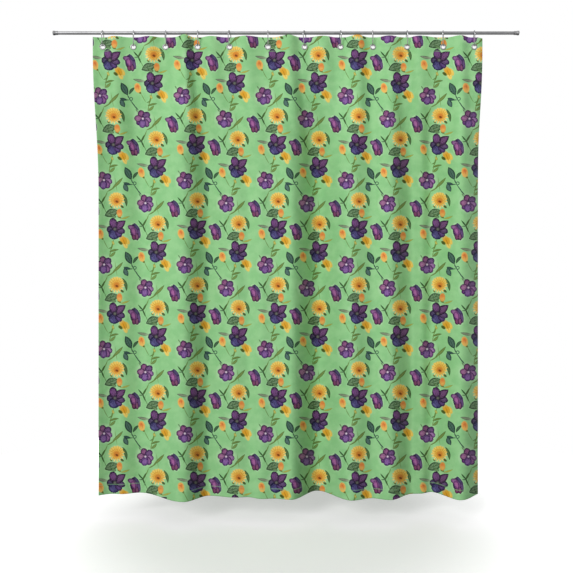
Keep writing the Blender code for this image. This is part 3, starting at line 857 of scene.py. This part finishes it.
def make_rod(steel, chrome, rubber):
    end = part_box("rod_tube")[1].x
    bore = ROD_RADIUS - ROD_WALL
    tube = [(-end, bore), (-end, ROD_RADIUS), (end, ROD_RADIUS), (end, bore)]
    body = turned("rod", rounded(tube, 0.0003), 64, "X")
    add_piece("rod", body, steel, "rod", ["rod_tube"])
    for side, name in ((-1, "left"), (1, "right")):
        low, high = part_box(f"wall_cup_{name}")
        floor, mouth = (low.x, high.x) if side < 0 else (high.x, low.x)
        wide = (high.z - low.z) / 2
        sleeve = ROD_RADIUS + GAP
        neck = sleeve + CUP_WALL
        cup = [(floor, 0.0), (floor, wide), (floor - side * CUP_RIM, wide)]
        for i in range(9):
            share = math.sin(math.pi / 2 * i / 8)
            cup.append((floor - side * (CUP_RIM + CUP_FLARE * share), neck + (wide - neck) * (1 - share)))
        inner = floor - side * CUP_FLOOR
        cup += [(mouth, neck), (mouth, sleeve), (inner, sleeve), (inner, 0.0)]
        body = turned(f"cup_{name}", cup, 64, "X")
        add_piece(f"cup_{name}", body, chrome, "rod", [f"wall_cup_{name}"])
        low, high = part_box(f"wall_pad_{name}")
        wide = (high.z - low.z) / 2
        pad = rounded([(low.x, 0.0), (low.x, wide), (high.x, wide), (high.x, 0.0)], 0.0006)
        body = turned(f"pad_{name}", pad, 64, "X")
        add_piece(f"pad_{name}", body, rubber, "rod", [f"wall_pad_{name}"])


def make_sheet_and_eyelets(nickel):
    """The sheet is attached to the body sheet_01, and each eyelet's two pieces to the sheet body numbered
    like its ring.
    """
    sheet = bpy.data.objects.new("curtain_sheet", sheet_mesh())
    bpy.context.collection.objects.link(sheet)
    sheet.data.materials.append(cloth_material("printed_cloth", 1.0))
    sheet.data.materials.append(cloth_material("printed_cloth_back", 0.42))
    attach(sheet, "sheet_01")
    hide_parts(*[f"cloth_panel_{number}" for number in RINGS])
    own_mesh(sheet)
    for number, x in zip(RINGS, RING_X):
        for name, outline, cad in (
            ("eyelet_front", grommet_outline(), "grommet"),
            ("eyelet_back", washer_outline(), "washer"),
        ):
            mesh = turned(f"{name}_{number}", outline, 48, "Y")
            place = (x, 0, EYELET_Z)
            body, replaced = f"sheet_{number}", [f"{cad}_{number}"]
            piece = add_piece(mesh.name, mesh, nickel, body, replaced, place)
            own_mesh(piece)


def make_rings(steel):
    for number, x, yaw in zip(RINGS, RING_X, RING_YAW_DEG):
        mesh = ring_mesh(f"wire_ring_{number}", math.radians(yaw))
        add_piece(mesh.name, mesh, steel, f"ring_{number}", [f"ring_{number}"], (x, 0, 0))


# ---------------------------------------------------------------- the studio


def make_floor():
    """A pale round floor below the hem that fades into the white surround."""
    bpy.ops.mesh.primitive_circle_add(vertices=128, radius=FLOOR_RADIUS, fill_type="NGON")
    floor = bpy.context.object
    floor.location.z = FLOOR_Z
    floor.name = "studio_floor"
    made = Shader("studio_floor", 0.9)
    seen = made.node("ShaderNodeLightPath").outputs["Is Camera Ray"]
    bounce, pale = (*[FLOOR_BOUNCE] * 3, 1), (*[FLOOR_PALE] * 3, 1)
    made.colour(made.mix(seen, bounce, pale))
    place = made.node("ShaderNodeTexCoord").outputs["Object"]
    out = made.node("ShaderNodeVectorMath", {0: place}, operation="LENGTH").outputs["Value"]
    glow = made.ramp(out, *FLOOR_FADE, FLOOR_LIFT, 1.0)
    made.surface.inputs["Emission Color"].default_value = (1, 1, 1, 1)
    made.tree.links.new(made.calc("MULTIPLY", glow, seen), made.surface.inputs["Emission Strength"])
    floor.data.materials.append(made.material)


def make_lights():
    """A soft key from the upper left in front, and an even white surround."""
    key = bpy.data.lights.new("key", "SUN")
    key.energy = KEY_STRENGTH
    key.angle = math.radians(KEY_ANGLE_DEG)
    light = bpy.data.objects.new("key", key)
    bpy.context.collection.objects.link(light)
    light.rotation_euler = KEY_DIRECTION.to_track_quat("-Z", "Y").to_euler()
    world = bpy.data.worlds.new("surround")
    bpy.context.scene.world = world
    world.use_nodes = True
    tree = world.node_tree
    shade = tree.nodes["Background"]
    seen = tree.nodes.new("ShaderNodeLightPath").outputs["Is Camera Ray"]
    strength = tree.nodes.new("ShaderNodeMapRange")
    strength.inputs["To Min"].default_value = SURROUND_STRENGTH
    strength.inputs["To Max"].default_value = 1.0
    tree.links.new(seen, strength.inputs["Value"])
    tree.links.new(strength.outputs[0], shade.inputs["Strength"])
    shade.inputs["Color"].default_value = (1, 1, 1, 1)


def make_camera():
    lens = bpy.data.cameras.new("camera")
    lens.lens = LENS
    lens.sensor_width = SENSOR
    camera = bpy.data.objects.new("camera", lens)
    bpy.context.collection.objects.link(camera)
    camera.location = CAMERA
    camera.rotation_euler = (math.pi / 2, 0, 0)
    bpy.context.scene.camera = camera


def main():
    bpy.context.scene.view_settings.view_transform = "Standard"
    rod_steel = metal("rod_steel", (0.42, 0.42, 0.43, 1), 0.52, (0.02, 1.0, 1.0))
    ring_steel = metal("ring_steel", (0.62, 0.62, 0.63, 1), 0.22, (0.3, 0.3, 1.0))
    chrome = metal("cup_chrome", (0.46, 0.46, 0.47, 1), 0.36, (0.05, 1.0, 1.0), 0.03)
    nickel = metal("eyelet_nickel", (0.40, 0.40, 0.40, 1), 0.42, (1.0, 1.0, 1.0))
    make_camera()
    make_rod(rod_steel, chrome, rubber_material())
    make_rings(ring_steel)
    make_sheet_and_eyelets(nickel)
    make_floor()
    make_lights()


main()
